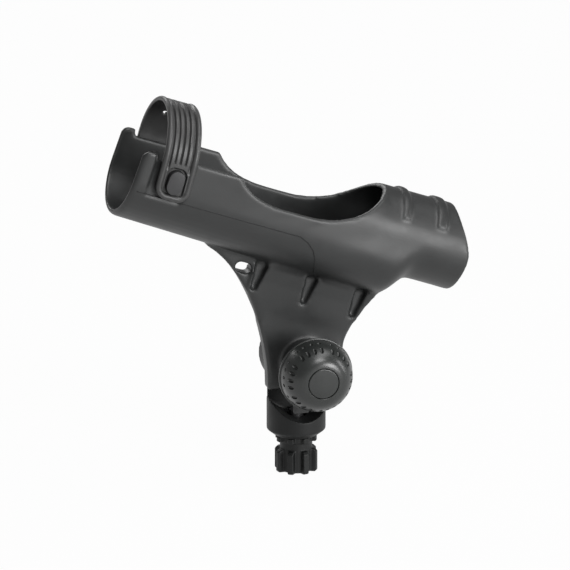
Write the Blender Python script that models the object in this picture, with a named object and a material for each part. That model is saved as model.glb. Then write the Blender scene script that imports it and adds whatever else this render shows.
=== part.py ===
"""Fishing rod holder: an open cradle on a ratchet hub, clamped by a knob, on a splined post.

World frame: origin at the bottom of the spline on the post's axis, +Z up, the cradle's open
front towards -X and its butt barrel towards +X, the knob towards -Y.
Cradle frame: origin on the tilt axis, x along the rod towards the butt, z square to the rod.
All numbers below are millimetres and degrees; meshes are written in metres.
"""

import math

import bmesh
import bpy
from mathutils import Matrix, Vector

MM = 0.001
GAP = 0.3  # between pieces that touch
RUNNING_GAP = 0.4  # between pieces that turn or slide on each other
OVERRUN = 1.0  # how far a cutter stands out of what it cuts
ROUND = 48  # sides of a large turned piece
SMALL_ROUND = 24  # sides of a bolt, washer or bore

# Tilt axis and rest position
TILT_X = 4.0
TILT_Z = 84.0
REST_PITCH = 20.0

# Cradle: trough, saddle opening and butt barrel (cradle frame)
WALL = 4.0
TROUGH_HALF_WIDTH = 33.0
TROUGH_FRONT = -177.6
WALL_TOP = 123.6
FRONT_ARC_HEIGHT = 98.7  # centre of the round bottom at the front
REAR_ARC_HEIGHT = 94.0
TROUGH_REAR = 32.0  # where the deep bottom starts to close up to the barrel
BARREL_START = 50.0
BARREL_END = 85.0
BARREL_RADIUS = 30.6
BARREL_HEIGHT = 109.2
SADDLE_FRONT = -101.0
SADDLE_LOW = 108.3
SADDLE_MIDDLE = -48.0
SADDLE_REAR = 16.0
FRONT_NOSE = ((0.0, 2.6), (0.7, 1.4), (2.0, 0.4), (4.2, 0.0))  # (behind the front, inset)
EAR_CORNER = 6.0
STRAP_NOTCH = (-167.0, -137.0)
NOTCH_FLOOR = 119.2
RIBS = ((27.7, 33.0), (55.0, 62.0))
RIB_HEIGHT = 1.7
RIB_ENDS = 126.0

# Web between the trough and the hub
WEB_NEAR = -7.6  # flat cheeks of the web
WEB_FAR = 4.5
PAD_FRONT = -60.5  # the thicker pads start here
PAD_HALF_WIDTHS = ((24.0, 3.0), (30.0, 8.0), (50.0, 10.0), (62.0, 12.0), (70.0, 16.0))
PAD_MARGIN = 0.6  # the pads stop this far inside the web's edges
GROOVES = (-56.0, -16.5, 22.0)
GROOVE_TOP = 70.0
GROOVE_TIP = 42.0
GROOVE_TOP_WIDTH = 9.0
GROOVE_TIP_WIDTH = 4.4
LANYARD_SLOT = (-67.8, 54.6)
LANYARD_LENGTH = 12.5
LANYARD_WIDTH = 7.5
WEB_FOOT = -20.0  # flat foot of the web, level at rest
FOOT_ENDS = (-26.7, 19.0)

# Hub, on the tilt axis (positions along y)
HUB_RADIUS = 25.0
HUB_NEAR = -36.4
HUB_STEP = -7.0  # the full hub starts here, under the web's near cheek
BOSS_RADIUS = 17.0  # the hub's near boss, behind the knob
HUB_FAR = 8.6
LUG_X = (-12.4, -0.7)
LUG_Z = (-34.0, -13.0)
LUG_Y = (-25.0, -19.5)

# Ratchet: disc, ring, keys and teeth
TEETH = 24
TOOTH_DEPTH = 1.4
TOOTH_INNER = 12.4
TOOTH_OUTER = 18.5
TOOTH_TIP_SHARE = 0.12  # of one tooth's pitch, flat at the tip and at the root
DISC_RADIUS = 20.0
DISC_BACK = -3.7
DISC_FACE = 5.1
DISC_TRAVEL_ROOM = 2.3  # behind the disc, for backing the knob off
KEYS = 4
KEY_WIDTH = 5.0
KEY_HEIGHT = 1.7
RING_THICKNESS = 3.0

# Bolt, sleeve and knob
BOLT_RADIUS = 4.0
BOLT_HEAD_HEIGHT = 5.3
BOLT_HEAD_FLATS = 13.0
BOLT_TIP = 20.0
SLEEVE_RADIUS = 7.2
BUSH_WALL = 2.5
WASHER_RADIUS = 9.5
WASHER_THICKNESS = 0.6
SLEEVE_NEAR = -37.1
KNOB_BACK = -38.0
KNOB_RADIUS = 27.4
KNOB_LIP = 1.8
KNOB_DOME_RADIUS = 26.4
KNOB_FRONT = -62.0
KNOB_WALL = 4.0
CAP_RADIUS = 11.2
CAP_THICKNESS = 2.4
CAP_LEDGE = 2.3
CORE_FLANGE = 1.8
CORE_RADIUS = 11.0
CORE_BOLT_SEAT = -49.3
SPRING_RADIUS = 7.5
SPRING_WIRE = 1.2
SPRING_TURNS = 4
SPRING_RECESS = 3.6

# Base and ear
POST_RADIUS = 21.4
HOUSING_BOTTOM = 27.5
CHAMFER_TOP = 32.0
CHAMFER_RADIUS = 15.75
RECESS_RADIUS = 25.9
RECESS_X = 2.5
RECESS_Z = 67.6
EAR_RADIUS = 26.0
EAR_NEAR = 9.0
EAR_FAR = 23.0
NUT_FLATS = 13.0
NUT_THICKNESS = 6.3
EAR_CAP_RADIUS = 10.0
EAR_CAP_THICKNESS = 1.2

# Spline post
SPLINE_TEETH = 8
SPLINE_RADIUS = 15.7
SPLINE_ROOT = 12.0
SPLINE_HEIGHT = 17.0
SPLINE_PHASE = -121.0
TIP_HALF_ANGLE = 7.5
ROOT_HALF_ANGLE = 12.5
NECK_RADIUS = 11.8
NECK_TOP = 23.0
CASTLE_RADIUS = 15.3
CASTLE_ROOT = 12.5
SPIGOT_RADIUS = 9.0
SPIGOT_HEIGHT = 9.5
POST_SCREW_RADIUS = 3.0
POST_SCREW_END = 12.0
SCREW_HEAD_RADIUS = 5.0
SCREW_HEAD_HEIGHT = 5.0
SCREW_SEAT = 39.0
POST_WASHER_RADIUS = 6.0
POST_WASHER_THICKNESS = 1.2

# Strap and its buttons (cradle frame)
STRAP_THICKNESS = 3.6
STRAP_CORNER = 9.0
STRAP_WIDTH = 26.0
STRAP_CLEARANCE = 0.4  # to the outside of the trough wall
STRAP_SHOULDER = 121.0  # height where the round arch starts
STRAP_END = 93.7
STRAP_MIDDLE = -153.0
STRAP_LEAN = 5.0 / 64.0  # drift towards the butt per millimetre down
STRAP_TOP = 158.0
BUTTON_HEIGHT = 107.5
BUTTON_WIDTH = 11.7
BUTTON_LENGTH = 17.5
BUTTON_STANDS_OUT = 1.6  # of the strap
BUTTON_HOLE_GAP = 1.4
BUTTON_SCREW_RADIUS = 1.9
BUTTON_SCREW_HEAD_RADIUS = 3.6
BUTTON_SCREW_HEAD_HEIGHT = 1.4
BUTTON_SCREW_BITE = 3.3

# Places worked out from the sizes above
HUB_CAVITY = DISC_BACK - DISC_TRAVEL_ROOM
BUSH_BORE = SLEEVE_RADIUS + GAP
BUSH_RADIUS = BUSH_BORE + BUSH_WALL
BOLT_BORE = BOLT_RADIUS + RUNNING_GAP
DISC_TIP = DISC_FACE + TOOTH_DEPTH
RING_TIP = DISC_TIP + GAP
RING_ROOT = RING_TIP + TOOTH_DEPTH
RING_BACK = RING_ROOT + RING_THICKNESS
EAR_POCKET = RING_BACK + GAP
EAR_CAP_SEAT = EAR_FAR - EAR_CAP_THICKNESS - GAP
NUT_SEAT = EAR_CAP_SEAT - NUT_THICKNESS - 2 * GAP
STRAP_INNER = TROUGH_HALF_WIDTH + STRAP_CLEARANCE
STRAP_OUTER = STRAP_INNER + STRAP_THICKNESS
HINGE_Y = STRAP_OUTER + GAP


def linear(hex_colour):
    """Turns an sRGB hex colour into the linear RGBA that a shader socket takes."""
    channels = [int(hex_colour[i : i + 2], 16) / 255 for i in (0, 2, 4)]
    curve = [c / 12.92 if c <= 0.04045 else ((c + 0.055) / 1.055) ** 2.4 for c in channels]
    return (*curve, 1.0)


def paint(name, hex_colour, roughness, metallic=0.0):
    material = bpy.data.materials.new(name)
    material.use_nodes = True
    shader = material.node_tree.nodes["Principled BSDF"]
    shader.inputs["Base Color"].default_value = linear(hex_colour)
    shader.inputs["Roughness"].default_value = roughness
    shader.inputs["Metallic"].default_value = metallic
    return material


def frame(name, place=(0, 0, 0), pitch=0.0, parent=None):
    """Adds an empty on a joint's axis, which its pieces are parented to."""
    empty = bpy.data.objects.new(name, None)
    empty.location = Vector(place) * MM
    empty.rotation_euler = (0, math.radians(pitch), 0)
    empty.parent = parent
    bpy.context.scene.collection.objects.link(empty)
    return empty


def solid(name, bm):
    """Makes an object of a mesh built in millimetres, with its faces pointing out."""
    bmesh.ops.recalc_face_normals(bm, faces=bm.faces)
    bmesh.ops.scale(bm, vec=(MM, MM, MM), verts=bm.verts)
    mesh = bpy.data.meshes.new(name)
    bm.to_mesh(mesh)
    bm.free()
    body = bpy.data.objects.new(name, mesh)
    bpy.context.scene.collection.objects.link(body)
    return body


def combine(body, tool, how):
    """Joins, cuts or trims body with tool, exactly, and removes the tool."""
    step = body.modifiers.new(how, "BOOLEAN")
    step.operation = how
    step.solver = "EXACT"
    step.object = tool
    graph = bpy.context.evaluated_depsgraph_get()
    result = bpy.data.meshes.new_from_object(body.evaluated_get(graph))
    body.modifiers.clear()
    body.data = result
    bpy.data.objects.remove(tool)


def join(body, tool):
    combine(body, tool, "UNION")


def cut(body, tool):
    combine(body, tool, "DIFFERENCE")


def finish(body, parent, material, origin=(0, 0, 0)):
    """Gives a piece its frame, its own origin in that frame, its material and smooth shading."""
    body.data.transform(Matrix.Translation(-Vector(origin) * MM))
    body.location = Vector(origin) * MM
    body.parent = parent
    body.data.materials.clear()
    body.data.materials.append(material)
    body.data.shade_smooth()
    body.data.set_sharp_from_angle(angle=math.radians(35))
    return body


def loft(rings):
    """A closed solid through rings of equally many points, capped at both ends."""
    bm = bmesh.new()
    loops = [[bm.verts.new(point) for point in ring] for ring in rings]
    count = len(loops[0])
    for lower, upper in zip(loops, loops[1:]):
        for i in range(count):
            j = (i + 1) % count
            bm.faces.new((lower[i], lower[j], upper[j], upper[i]))
    bm.faces.new(reversed(loops[0]))
    bm.faces.new(loops[-1])
    return bm


def slab(outline, low, high):
    """An outline of (x, z) points, extruded along y from low to high."""
    return loft([[(x, y, z) for x, z in outline] for y in (low, high)])


def long_slab(outline, low, high):
    """An outline of (y, z) points, extruded along x from low to high."""
    return loft([[(x, y, z) for y, z in outline] for x in (low, high)])


def turned(profile, sides, axis="Y", centre=(0, 0)):
    """Turns a closed profile of (radius, place along the axis) points about Y or Z."""
    bm = bmesh.new()
    rings = []
    for k in range(sides):
        angle = 2 * math.pi * k / sides
        ring = []
        for radius, along in profile:
            u = centre[0] + radius * math.cos(angle)
            v = centre[1] + radius * math.sin(angle)
            ring.append(bm.verts.new((u, along, v) if axis == "Y" else (u, v, along)))
        rings.append(ring)
    count = len(profile)
    for k in range(sides):
        here, there = rings[k], rings[(k + 1) % sides]
        for i in range(count):
            j = (i + 1) % count
            bm.faces.new((here[i], here[j], there[j], there[i]))
    bmesh.ops.remove_doubles(bm, verts=bm.verts, dist=1e-5)
    bmesh.ops.dissolve_degenerate(bm, edges=bm.edges, dist=1e-5)
    return bm


def rod(radius, low, high, sides=SMALL_ROUND, axis="Y", centre=(0, 0)):
    outline = polygon(radius, sides)
    if axis == "Y":
        return slab([(centre[0] + x, centre[1] + z) for x, z in outline], low, high)
    return loft([[(centre[0] + x, centre[1] + y, z) for x, y in outline] for z in (low, high)])


def tube(inner, outer, low, high, sides=SMALL_ROUND, axis="Y", centre=(0, 0)):
    profile = [(inner, low), (outer, low), (outer, high), (inner, high)]
    return turned(profile, sides, axis, centre)


def polygon(radius, sides, turn=0.0):
    angles = [math.radians(turn) + 2 * math.pi * k / sides for k in range(sides)]
    return [(radius * math.cos(angle), radius * math.sin(angle)) for angle in angles]


def hexagon(flats):
    return polygon(flats / 2 / math.cos(math.pi / 6), 6)


def bezier(start, lead, trail, end, steps):
    """Points of one cubic curve, both ends included."""
    points = []
    for k in range(steps + 1):
        t = k / steps
        shares = ((1 - t) ** 3, 3 * t * (1 - t) ** 2, 3 * t * t * (1 - t), t**3)
        parts = zip(shares, (start, lead, trail, end))
        points.append(tuple(sum(column) for column in zip(*[(s * p[0], s * p[1]) for s, p in parts])))
    return points


def level(x, z):
    """Cradle-frame place of a point given level at rest, from the tilt axis."""
    turn = math.radians(REST_PITCH)
    return (x * math.cos(turn) - z * math.sin(turn), x * math.sin(turn) + z * math.cos(turn))


# ---- Cradle ----


def barrel_share(x):
    """0 in the deep trough, 1 in the round barrel, easing between them."""
    t = min(max((x - TROUGH_REAR) / (BARREL_START - TROUGH_REAR), 0.0), 1.0)
    return t * t * (3 - 2 * t)


def section(x, inset):
    """Outline of the cradle at x: a round top and a round bottom joined by straight sides."""
    along = (x - TROUGH_FRONT) / (TROUGH_REAR - TROUGH_FRONT)
    floor_arc = FRONT_ARC_HEIGHT + (REAR_ARC_HEIGHT - FRONT_ARC_HEIGHT) * min(along, 1.0)
    share = barrel_share(x)
    low_height = floor_arc + (BARREL_HEIGHT - floor_arc) * share
    low_radius = TROUGH_HALF_WIDTH + (BARREL_RADIUS - TROUGH_HALF_WIDTH) * share - inset
    saddle = min(max((x - SADDLE_FRONT) / (SADDLE_REAR - SADDLE_FRONT), 0.0), 1.0)
    top_radius = TROUGH_HALF_WIDTH + (BARREL_RADIUS - TROUGH_HALF_WIDTH) * saddle - inset
    top_height = WALL_TOP + 2 * OVERRUN
    top_height += (BARREL_HEIGHT - top_height) * saddle
    top = half_turn(20)
    points = [(top_radius * math.cos(a), top_height + top_radius * math.sin(a)) for a in top]
    points += [(-low_radius * math.cos(a), low_height - low_radius * math.sin(a)) for a in top]
    return [(x, y, z) for y, z in points]


def stations(rear):
    """Places along the cradle, behind its front, where its section is taken."""
    middle = [SADDLE_FRONT, -75.0, SADDLE_MIDDLE, -20.0, SADDLE_REAR, TROUGH_REAR]
    closing = [TROUGH_REAR + (BARREL_START - TROUGH_REAR) * k / 6 for k in range(1, 7)]
    return middle + closing + [rear]


def ear_corner():
    """Side outline of what is rounded off the top front corner of the walls."""
    x, z = TROUGH_FRONT, WALL_TOP
    arc = [
        (x + EAR_CORNER * (1 - math.sin(a)), z - EAR_CORNER * (1 - math.cos(a)))
        for a in quarter_turn(6)
    ]
    out, above = x - OVERRUN, z + OVERRUN
    return arc + [(out, z - EAR_CORNER), (out, above), (x + EAR_CORNER, above)]


def saddle_outline():
    """Side outline of everything above the wall tops, the saddle and the barrel."""
    front = bezier(
        (SADDLE_FRONT, WALL_TOP), (-88.0, 109.0), (-72.0, SADDLE_LOW), (SADDLE_MIDDLE, SADDLE_LOW), 8
    )
    barrel_top = BARREL_HEIGHT + BARREL_RADIUS + OVERRUN
    rear = bezier(
        (SADDLE_MIDDLE, SADDLE_LOW), (-14.0, SADDLE_LOW), (0.0, 119.0), (SADDLE_REAR, barrel_top), 8
    )
    high = 2 * BARREL_RADIUS + BARREL_HEIGHT
    front_end = TROUGH_FRONT - OVERRUN
    return [(front_end, WALL_TOP)] + front + rear[1:] + [(SADDLE_REAR, high), (front_end, high)]


def butt_outline():
    """Side outline of what is swept away behind the barrel's end."""
    sweep = bezier(
        (BARREL_END - 15.0, BARREL_HEIGHT + BARREL_RADIUS + 3.0),
        (BARREL_END - 14.0, BARREL_HEIGHT + 23.0),
        (BARREL_END, BARREL_HEIGHT + 10.0),
        (BARREL_END, BARREL_HEIGHT - 4.0),
        6,
    )
    far = BARREL_END + 20.0
    return sweep + [(far, BARREL_HEIGHT - 4.0), (far, BARREL_HEIGHT + BARREL_RADIUS + 3.0)]


def web_outline(margin=0.0):
    """Side outline of the web, its front and rear edges moved in by the margin."""
    front = bezier((-100.0, 63.0), (-66.0, 55.0), (-37.0, 16.0), (-22.5, -17.0), 12)
    foot = [level(x, WEB_FOOT) for x in FOOT_ENDS]
    rear = bezier((26.8, 0.0), (23.0, 20.0), (24.0, 44.0), (38.0, 68.0), 8)
    front = [(x + margin, z) for x, z in front]
    rear = [(x - margin, z) for x, z in rear]
    return front + foot + rear + [(30.0, 72.0), (-94.0, 72.0)]


def web_pads():
    """The thicker part of the web under the trough, between its grooves."""
    right = [(half, height) for height, half in PAD_HALF_WIDTHS]
    profile = right + [(-half, height) for half, height in reversed(right)]
    pads = solid("pads", long_slab(profile, PAD_FRONT, BARREL_START))
    combine(pads, solid("web_side", slab(web_outline(PAD_MARGIN), -40.0, 40.0)), "INTERSECT")
    for x in GROOVES:
        top, tip = GROOVE_TOP_WIDTH / 2, GROOVE_TIP_WIDTH / 2
        tip_arc = [(x - tip * math.cos(a), GROOVE_TIP - tip * math.sin(a)) for a in half_turn(6)]
        outline = [(x - top, GROOVE_TOP)] + tip_arc + [(x + top, GROOVE_TOP)]
        for reach in ((-TROUGH_HALF_WIDTH, WEB_NEAR), (WEB_FAR, TROUGH_HALF_WIDTH)):
            cut(pads, solid("groove", slab(outline, *reach)))
    return pads


def half_turn(steps):
    return [math.pi * k / steps for k in range(steps + 1)]


def stadium(centre, length, width, turn=0.0):
    """A slot outline with round ends, its length turned by degrees from x."""
    half = (length - width) / 2
    arc = [(half + width / 2 * math.sin(a), -width / 2 * math.cos(a)) for a in half_turn(8)]
    points = arc + [(-x, -z) for x, z in arc]
    c, s = math.cos(math.radians(turn)), math.sin(math.radians(turn))
    return [(centre[0] + x * c - z * s, centre[1] + x * s + z * c) for x, z in points]


def key_blocks(name, reach, width, low, high):
    """Crossed bars whose ends are the ratchet disc's keys, or the hub's keyways."""
    bars = None
    for k in range(KEYS // 2):
        angle = math.pi * k / (KEYS // 2)
        c, s = math.cos(angle), math.sin(angle)
        corners = [(reach, -width / 2), (reach, width / 2), (-reach, width / 2), (-reach, -width / 2)]
        outline = [(u * c - v * s, u * s + v * c) for u, v in corners]
        bar = solid(name, slab(outline, low, high))
        if bars is None:
            bars = bar
        else:
            join(bars, bar)
    return bars


def make_cradle(parent, plastic):
    nose = [section(TROUGH_FRONT + back, inset) for back, inset in FRONT_NOSE]
    outer = nose + [section(x, 0.0) for x in stations(BARREL_END)]
    body = solid("cradle", loft(outer))
    join(body, solid("web", slab(web_outline(), WEB_NEAR, WEB_FAR)))
    join(body, web_pads())
    join(body, solid("boss", rod(BOSS_RADIUS, HUB_NEAR, 0.0, ROUND)))
    join(body, solid("hub", rod(HUB_RADIUS, HUB_STEP, HUB_FAR, ROUND)))
    lug = [level(x, z) for x, z in rectangle(LUG_X, LUG_Z)]
    join(body, solid("lug", slab(lug, *LUG_Y)))
    for start, end in RIBS:
        rib = solid("rib", barrel_disc(BARREL_RADIUS + RIB_HEIGHT, start, end))
        below = rectangle((start - OVERRUN, end + OVERRUN), (0.0, RIB_ENDS))
        cut(rib, solid("rib_end", slab(below, -2 * BARREL_RADIUS, 2 * BARREL_RADIUS)))
        join(body, rib)
    inner = [section(TROUGH_FRONT - OVERRUN, WALL)]
    inner += [section(x, WALL) for x in stations(BARREL_END + OVERRUN)]
    cut(body, solid("bore", loft(inner)))
    across = (-2 * TROUGH_HALF_WIDTH, 2 * TROUGH_HALF_WIDTH)
    cut(body, solid("saddle", slab(saddle_outline(), *across)))
    cut(body, solid("butt", slab(butt_outline(), *across)))
    cut(body, solid("ear_corner", slab(ear_corner(), *across)))
    notch = rectangle(STRAP_NOTCH, (NOTCH_FLOOR, WALL_TOP + OVERRUN))
    cut(body, solid("notch", slab(notch, *across)))
    slot = stadium(LANYARD_SLOT, LANYARD_LENGTH, LANYARD_WIDTH)
    cut(body, solid("lanyard_slot", slab(slot, *across)))
    cut(body, solid("bush_bore", rod(BUSH_RADIUS + GAP, HUB_NEAR - OVERRUN, HUB_CAVITY + OVERRUN)))
    pocket = rod(DISC_RADIUS + GAP, HUB_CAVITY, HUB_FAR + OVERRUN, ROUND)
    cut(body, solid("disc_pocket", pocket))
    reach = DISC_RADIUS + KEY_HEIGHT + GAP
    cut(body, key_blocks("keyways", reach, KEY_WIDTH + 2 * GAP, HUB_CAVITY, HUB_FAR + OVERRUN))
    screw_hole = rod(
        BUTTON_SCREW_RADIUS + GAP, across[0], across[1], centre=(button_x(), BUTTON_HEIGHT)
    )
    cut(body, solid("screw_holes", screw_hole))
    finish(body, parent, plastic)


def rectangle(x_span, z_span):
    (x0, x1), (z0, z1) = x_span, z_span
    return [(x0, z0), (x1, z0), (x1, z1), (x0, z1)]


def barrel_disc(radius, start, end):
    outline = [(y, BARREL_HEIGHT + z) for y, z in polygon(radius, ROUND)]
    return long_slab(outline, start, end)


# ---- Strap ----


def lean(z):
    """Middle of the strap along the cradle at height z."""
    return STRAP_MIDDLE + (STRAP_TOP - z) * STRAP_LEAN


def button_x():
    return lean(BUTTON_HEIGHT)


def strap_leg(name, side):
    """A flat strap end round a button, side -1 near and 1 far."""
    top = STRAP_SHOULDER - GAP / 2
    radius = STRAP_CORNER
    corner = STRAP_END + radius
    half = STRAP_WIDTH / 2
    arc = [(half - radius + radius * math.sin(a), corner - radius * math.cos(a)) for a in quarter_turn(5)]
    right = arc + [(half, top)]
    points = right + [(-x, z) for x, z in reversed(right)]
    outline = [(lean(z) + x, z) for x, z in points]
    reach = sorted((side * STRAP_INNER, side * STRAP_OUTER))
    leg = solid(name, slab(outline, *reach))
    grown = 2 * BUTTON_HOLE_GAP
    hole = stadium(
        (button_x(), BUTTON_HEIGHT), BUTTON_LENGTH + grown, BUTTON_WIDTH + grown, 90.0
    )
    cut(leg, solid("hole", slab(hole, -2 * STRAP_OUTER, 2 * STRAP_OUTER)))
    return leg


def quarter_turn(steps):
    return [math.pi / 2 * k / steps for k in range(steps + 1)]


def strap_arch():
    """The round part of the strap, from one shoulder over to the other."""
    steps = 20
    start = math.asin(GAP / 2 / STRAP_INNER)
    rings = []
    for k in range(steps + 1):
        angle = start + (math.pi - 2 * start) * k / steps
        ring = []
        for radius, side in ((STRAP_INNER, -1), (STRAP_OUTER, -1), (STRAP_OUTER, 1), (STRAP_INNER, 1)):
            z = STRAP_SHOULDER + radius * math.sin(angle)
            ring.append((lean(z) + side * STRAP_WIDTH / 2, radius * math.cos(angle), z))
        rings.append(ring)
    return solid("strap_arch", loft(rings))


def make_button(name, side, parent, plastic):
    outline = stadium((button_x(), BUTTON_HEIGHT), BUTTON_LENGTH, BUTTON_WIDTH, 90.0)
    seat = TROUGH_HALF_WIDTH + GAP
    reach = sorted((side * seat, side * (STRAP_OUTER + BUTTON_STANDS_OUT)))
    button = solid(name, slab(outline, *reach))
    depth = sorted((side * (seat - OVERRUN), side * (seat + BUTTON_SCREW_BITE + GAP)))
    centre = (button_x(), BUTTON_HEIGHT)
    cut(button, solid("hole", rod(BUTTON_SCREW_RADIUS + GAP, *depth, centre=centre)))
    finish(button, parent, plastic)


def make_button_screw(name, side, parent, steel):
    """Pan-head screw through the trough wall from the inside."""
    inside = TROUGH_HALF_WIDTH - WALL - GAP
    centre = (button_x(), BUTTON_HEIGHT)
    head = sorted((side * inside, side * (inside - BUTTON_SCREW_HEAD_HEIGHT)))
    screw = solid(name, rod(BUTTON_SCREW_HEAD_RADIUS, *head, centre=centre))
    tip = TROUGH_HALF_WIDTH + GAP + BUTTON_SCREW_BITE
    shank = sorted((side * (inside - BUTTON_SCREW_HEAD_HEIGHT / 2), side * tip))
    join(screw, solid("shank", rod(BUTTON_SCREW_RADIUS, *shank, centre=centre)))
    finish(screw, parent, steel)


# ---- Ratchet ----


def crown(back, root, tip, phase):
    """A ring with radial teeth from root to tip along y; phase places a tooth, in degrees."""
    pitch = 360.0 / TEETH
    flat = pitch * TOOTH_TIP_SHARE
    stations = []
    for k in range(TEETH):
        middle = phase + k * pitch
        stations.append((middle - flat / 2, tip))
        stations.append((middle + flat / 2, tip))
        stations.append((middle + pitch / 2 - flat / 2, root))
        stations.append((middle + pitch / 2 + flat / 2, root))
    bm = bmesh.new()
    rings = []
    for degrees, face in stations:
        c, s = math.cos(math.radians(degrees)), math.sin(math.radians(degrees))
        corners = ((TOOTH_INNER, back), (TOOTH_OUTER, back), (TOOTH_OUTER, face), (TOOTH_INNER, face))
        rings.append([bm.verts.new((r * c, y, r * s)) for r, y in corners])
    for k, here in enumerate(rings):
        there = rings[(k + 1) % len(rings)]
        for i in range(4):
            j = (i + 1) % 4
            bm.faces.new((here[i], here[j], there[j], there[i]))
    return bm


def make_clutch_disc(parent, metal):
    recess = DISC_FACE - SPRING_RECESS
    recess_radius = TOOTH_INNER - 2.0
    profile = [
        (BOLT_BORE, DISC_BACK),
        (DISC_RADIUS, DISC_BACK),
        (DISC_RADIUS, DISC_FACE),
        (recess_radius, DISC_FACE),
        (recess_radius, recess),
        (BOLT_BORE, recess),
    ]
    disc = solid("clutch_disc", turned(profile, ROUND))
    join(disc, solid("teeth", crown(DISC_FACE - OVERRUN, DISC_FACE, DISC_TIP, 0.0)))
    reach = DISC_RADIUS + KEY_HEIGHT
    keys = key_blocks("keys", reach, KEY_WIDTH, DISC_BACK, DISC_FACE - 2 * GAP)
    cut(keys, solid("key_core", rod(DISC_RADIUS - OVERRUN, DISC_BACK - OVERRUN, DISC_FACE + OVERRUN)))
    join(disc, keys)
    finish(disc, parent, metal)


def make_tooth_ring(parent, metal):
    """The ring's gaps face the disc's teeth at the rest pitch."""
    half_pitch = 180.0 / TEETH
    ring = solid("tooth_ring", crown(RING_BACK, RING_ROOT, RING_TIP, half_pitch))
    ring.data.transform(Matrix.Rotation(math.radians(REST_PITCH), 4, "Y"))
    finish(ring, parent, metal)


def make_spring(parent, steel):
    start = DISC_FACE - SPRING_RECESS + GAP + SPRING_WIRE / 2
    end = EAR_POCKET - GAP - SPRING_WIRE / 2
    per_turn = 14
    count = SPRING_TURNS * per_turn
    curve = bpy.data.curves.new("release_spring", "CURVE")
    curve.dimensions = "3D"
    curve.bevel_depth = SPRING_WIRE / 2 * MM
    curve.bevel_resolution = 1
    curve.use_fill_caps = True
    line = curve.splines.new("POLY")
    line.points.add(count)
    for k in range(count + 1):
        angle = 2 * math.pi * k / per_turn
        along = start + (end - start) * k / count
        place = Vector((SPRING_RADIUS * math.cos(angle), along, SPRING_RADIUS * math.sin(angle))) * MM
        line.points[k].co = (*place, 1.0)
    spring = bpy.data.objects.new("release_spring", curve)
    curve.materials.append(steel)
    spring.parent = parent
    bpy.context.scene.collection.objects.link(spring)


# ---- Knob and bolt ----


def make_knob_shell(parent, plastic):
    steps = 7
    front_edge = CAP_RADIUS + GAP
    lip_front = KNOB_BACK - KNOB_LIP
    mouth = KNOB_DOME_RADIUS - 2.0
    flange_seat = KNOB_BACK - CORE_FLANGE - 2 * GAP
    ledge_front = KNOB_FRONT + CAP_THICKNESS + GAP
    ledge_back = ledge_front + CAP_LEDGE
    outer = [
        (
            front_edge + (KNOB_DOME_RADIUS - front_edge) * math.cos(a),
            lip_front + (KNOB_FRONT - lip_front) * math.sin(a),
        )
        for a in quarter_turn(steps)
    ]
    inner_radius = KNOB_DOME_RADIUS - KNOB_WALL
    inner = [
        (
            front_edge + (inner_radius - front_edge) * math.cos(a),
            flange_seat + (ledge_back - flange_seat) * math.sin(a),
        )
        for a in quarter_turn(steps - 3)
    ]
    profile = [(mouth, KNOB_BACK), (KNOB_RADIUS, KNOB_BACK), (KNOB_RADIUS, lip_front)]
    profile += outer
    profile += [(front_edge, ledge_front), (front_edge - CAP_LEDGE, ledge_front)]
    profile += [(front_edge - CAP_LEDGE, ledge_back)] + inner[::-1] + [(mouth, flange_seat)]
    finish(solid("knob_shell", turned(profile, ROUND)), parent, plastic)


def make_knob_cap(parent, plastic):
    chamfer = 0.5
    profile = [
        (0.0, KNOB_FRONT + CAP_THICKNESS),
        (CAP_RADIUS, KNOB_FRONT + CAP_THICKNESS),
        (CAP_RADIUS, KNOB_FRONT + chamfer),
        (CAP_RADIUS - chamfer, KNOB_FRONT),
        (0.0, KNOB_FRONT),
    ]
    finish(solid("knob_cap", turned(profile, ROUND)), parent, plastic)


def make_knob_core(parent, plastic):
    back = KNOB_BACK - GAP
    flange_radius = KNOB_DOME_RADIUS - 2.0 - GAP
    boss_end = KNOB_FRONT + CAP_THICKNESS + CAP_LEDGE + 2 * GAP
    profile = [
        (BOLT_BORE, back),
        (flange_radius, back),
        (flange_radius, back - CORE_FLANGE),
        (CORE_RADIUS, back - CORE_FLANGE),
        (CORE_RADIUS, boss_end),
        (BOLT_BORE, boss_end),
    ]
    core = solid("knob_core", turned(profile, ROUND))
    socket = hexagon(BOLT_HEAD_FLATS + 2 * GAP)
    cut(core, solid("socket", slab(socket, boss_end - OVERRUN, CORE_BOLT_SEAT + GAP)))
    finish(core, parent, plastic)


def make_clamp_bolt(parent, steel):
    head = slab(hexagon(BOLT_HEAD_FLATS), CORE_BOLT_SEAT - BOLT_HEAD_HEIGHT, CORE_BOLT_SEAT)
    bolt = solid("clamp_bolt", head)
    join(bolt, solid("shank", rod(BOLT_RADIUS, CORE_BOLT_SEAT - OVERRUN, BOLT_TIP)))
    finish(bolt, parent, steel)


# ---- Base ----


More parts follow.
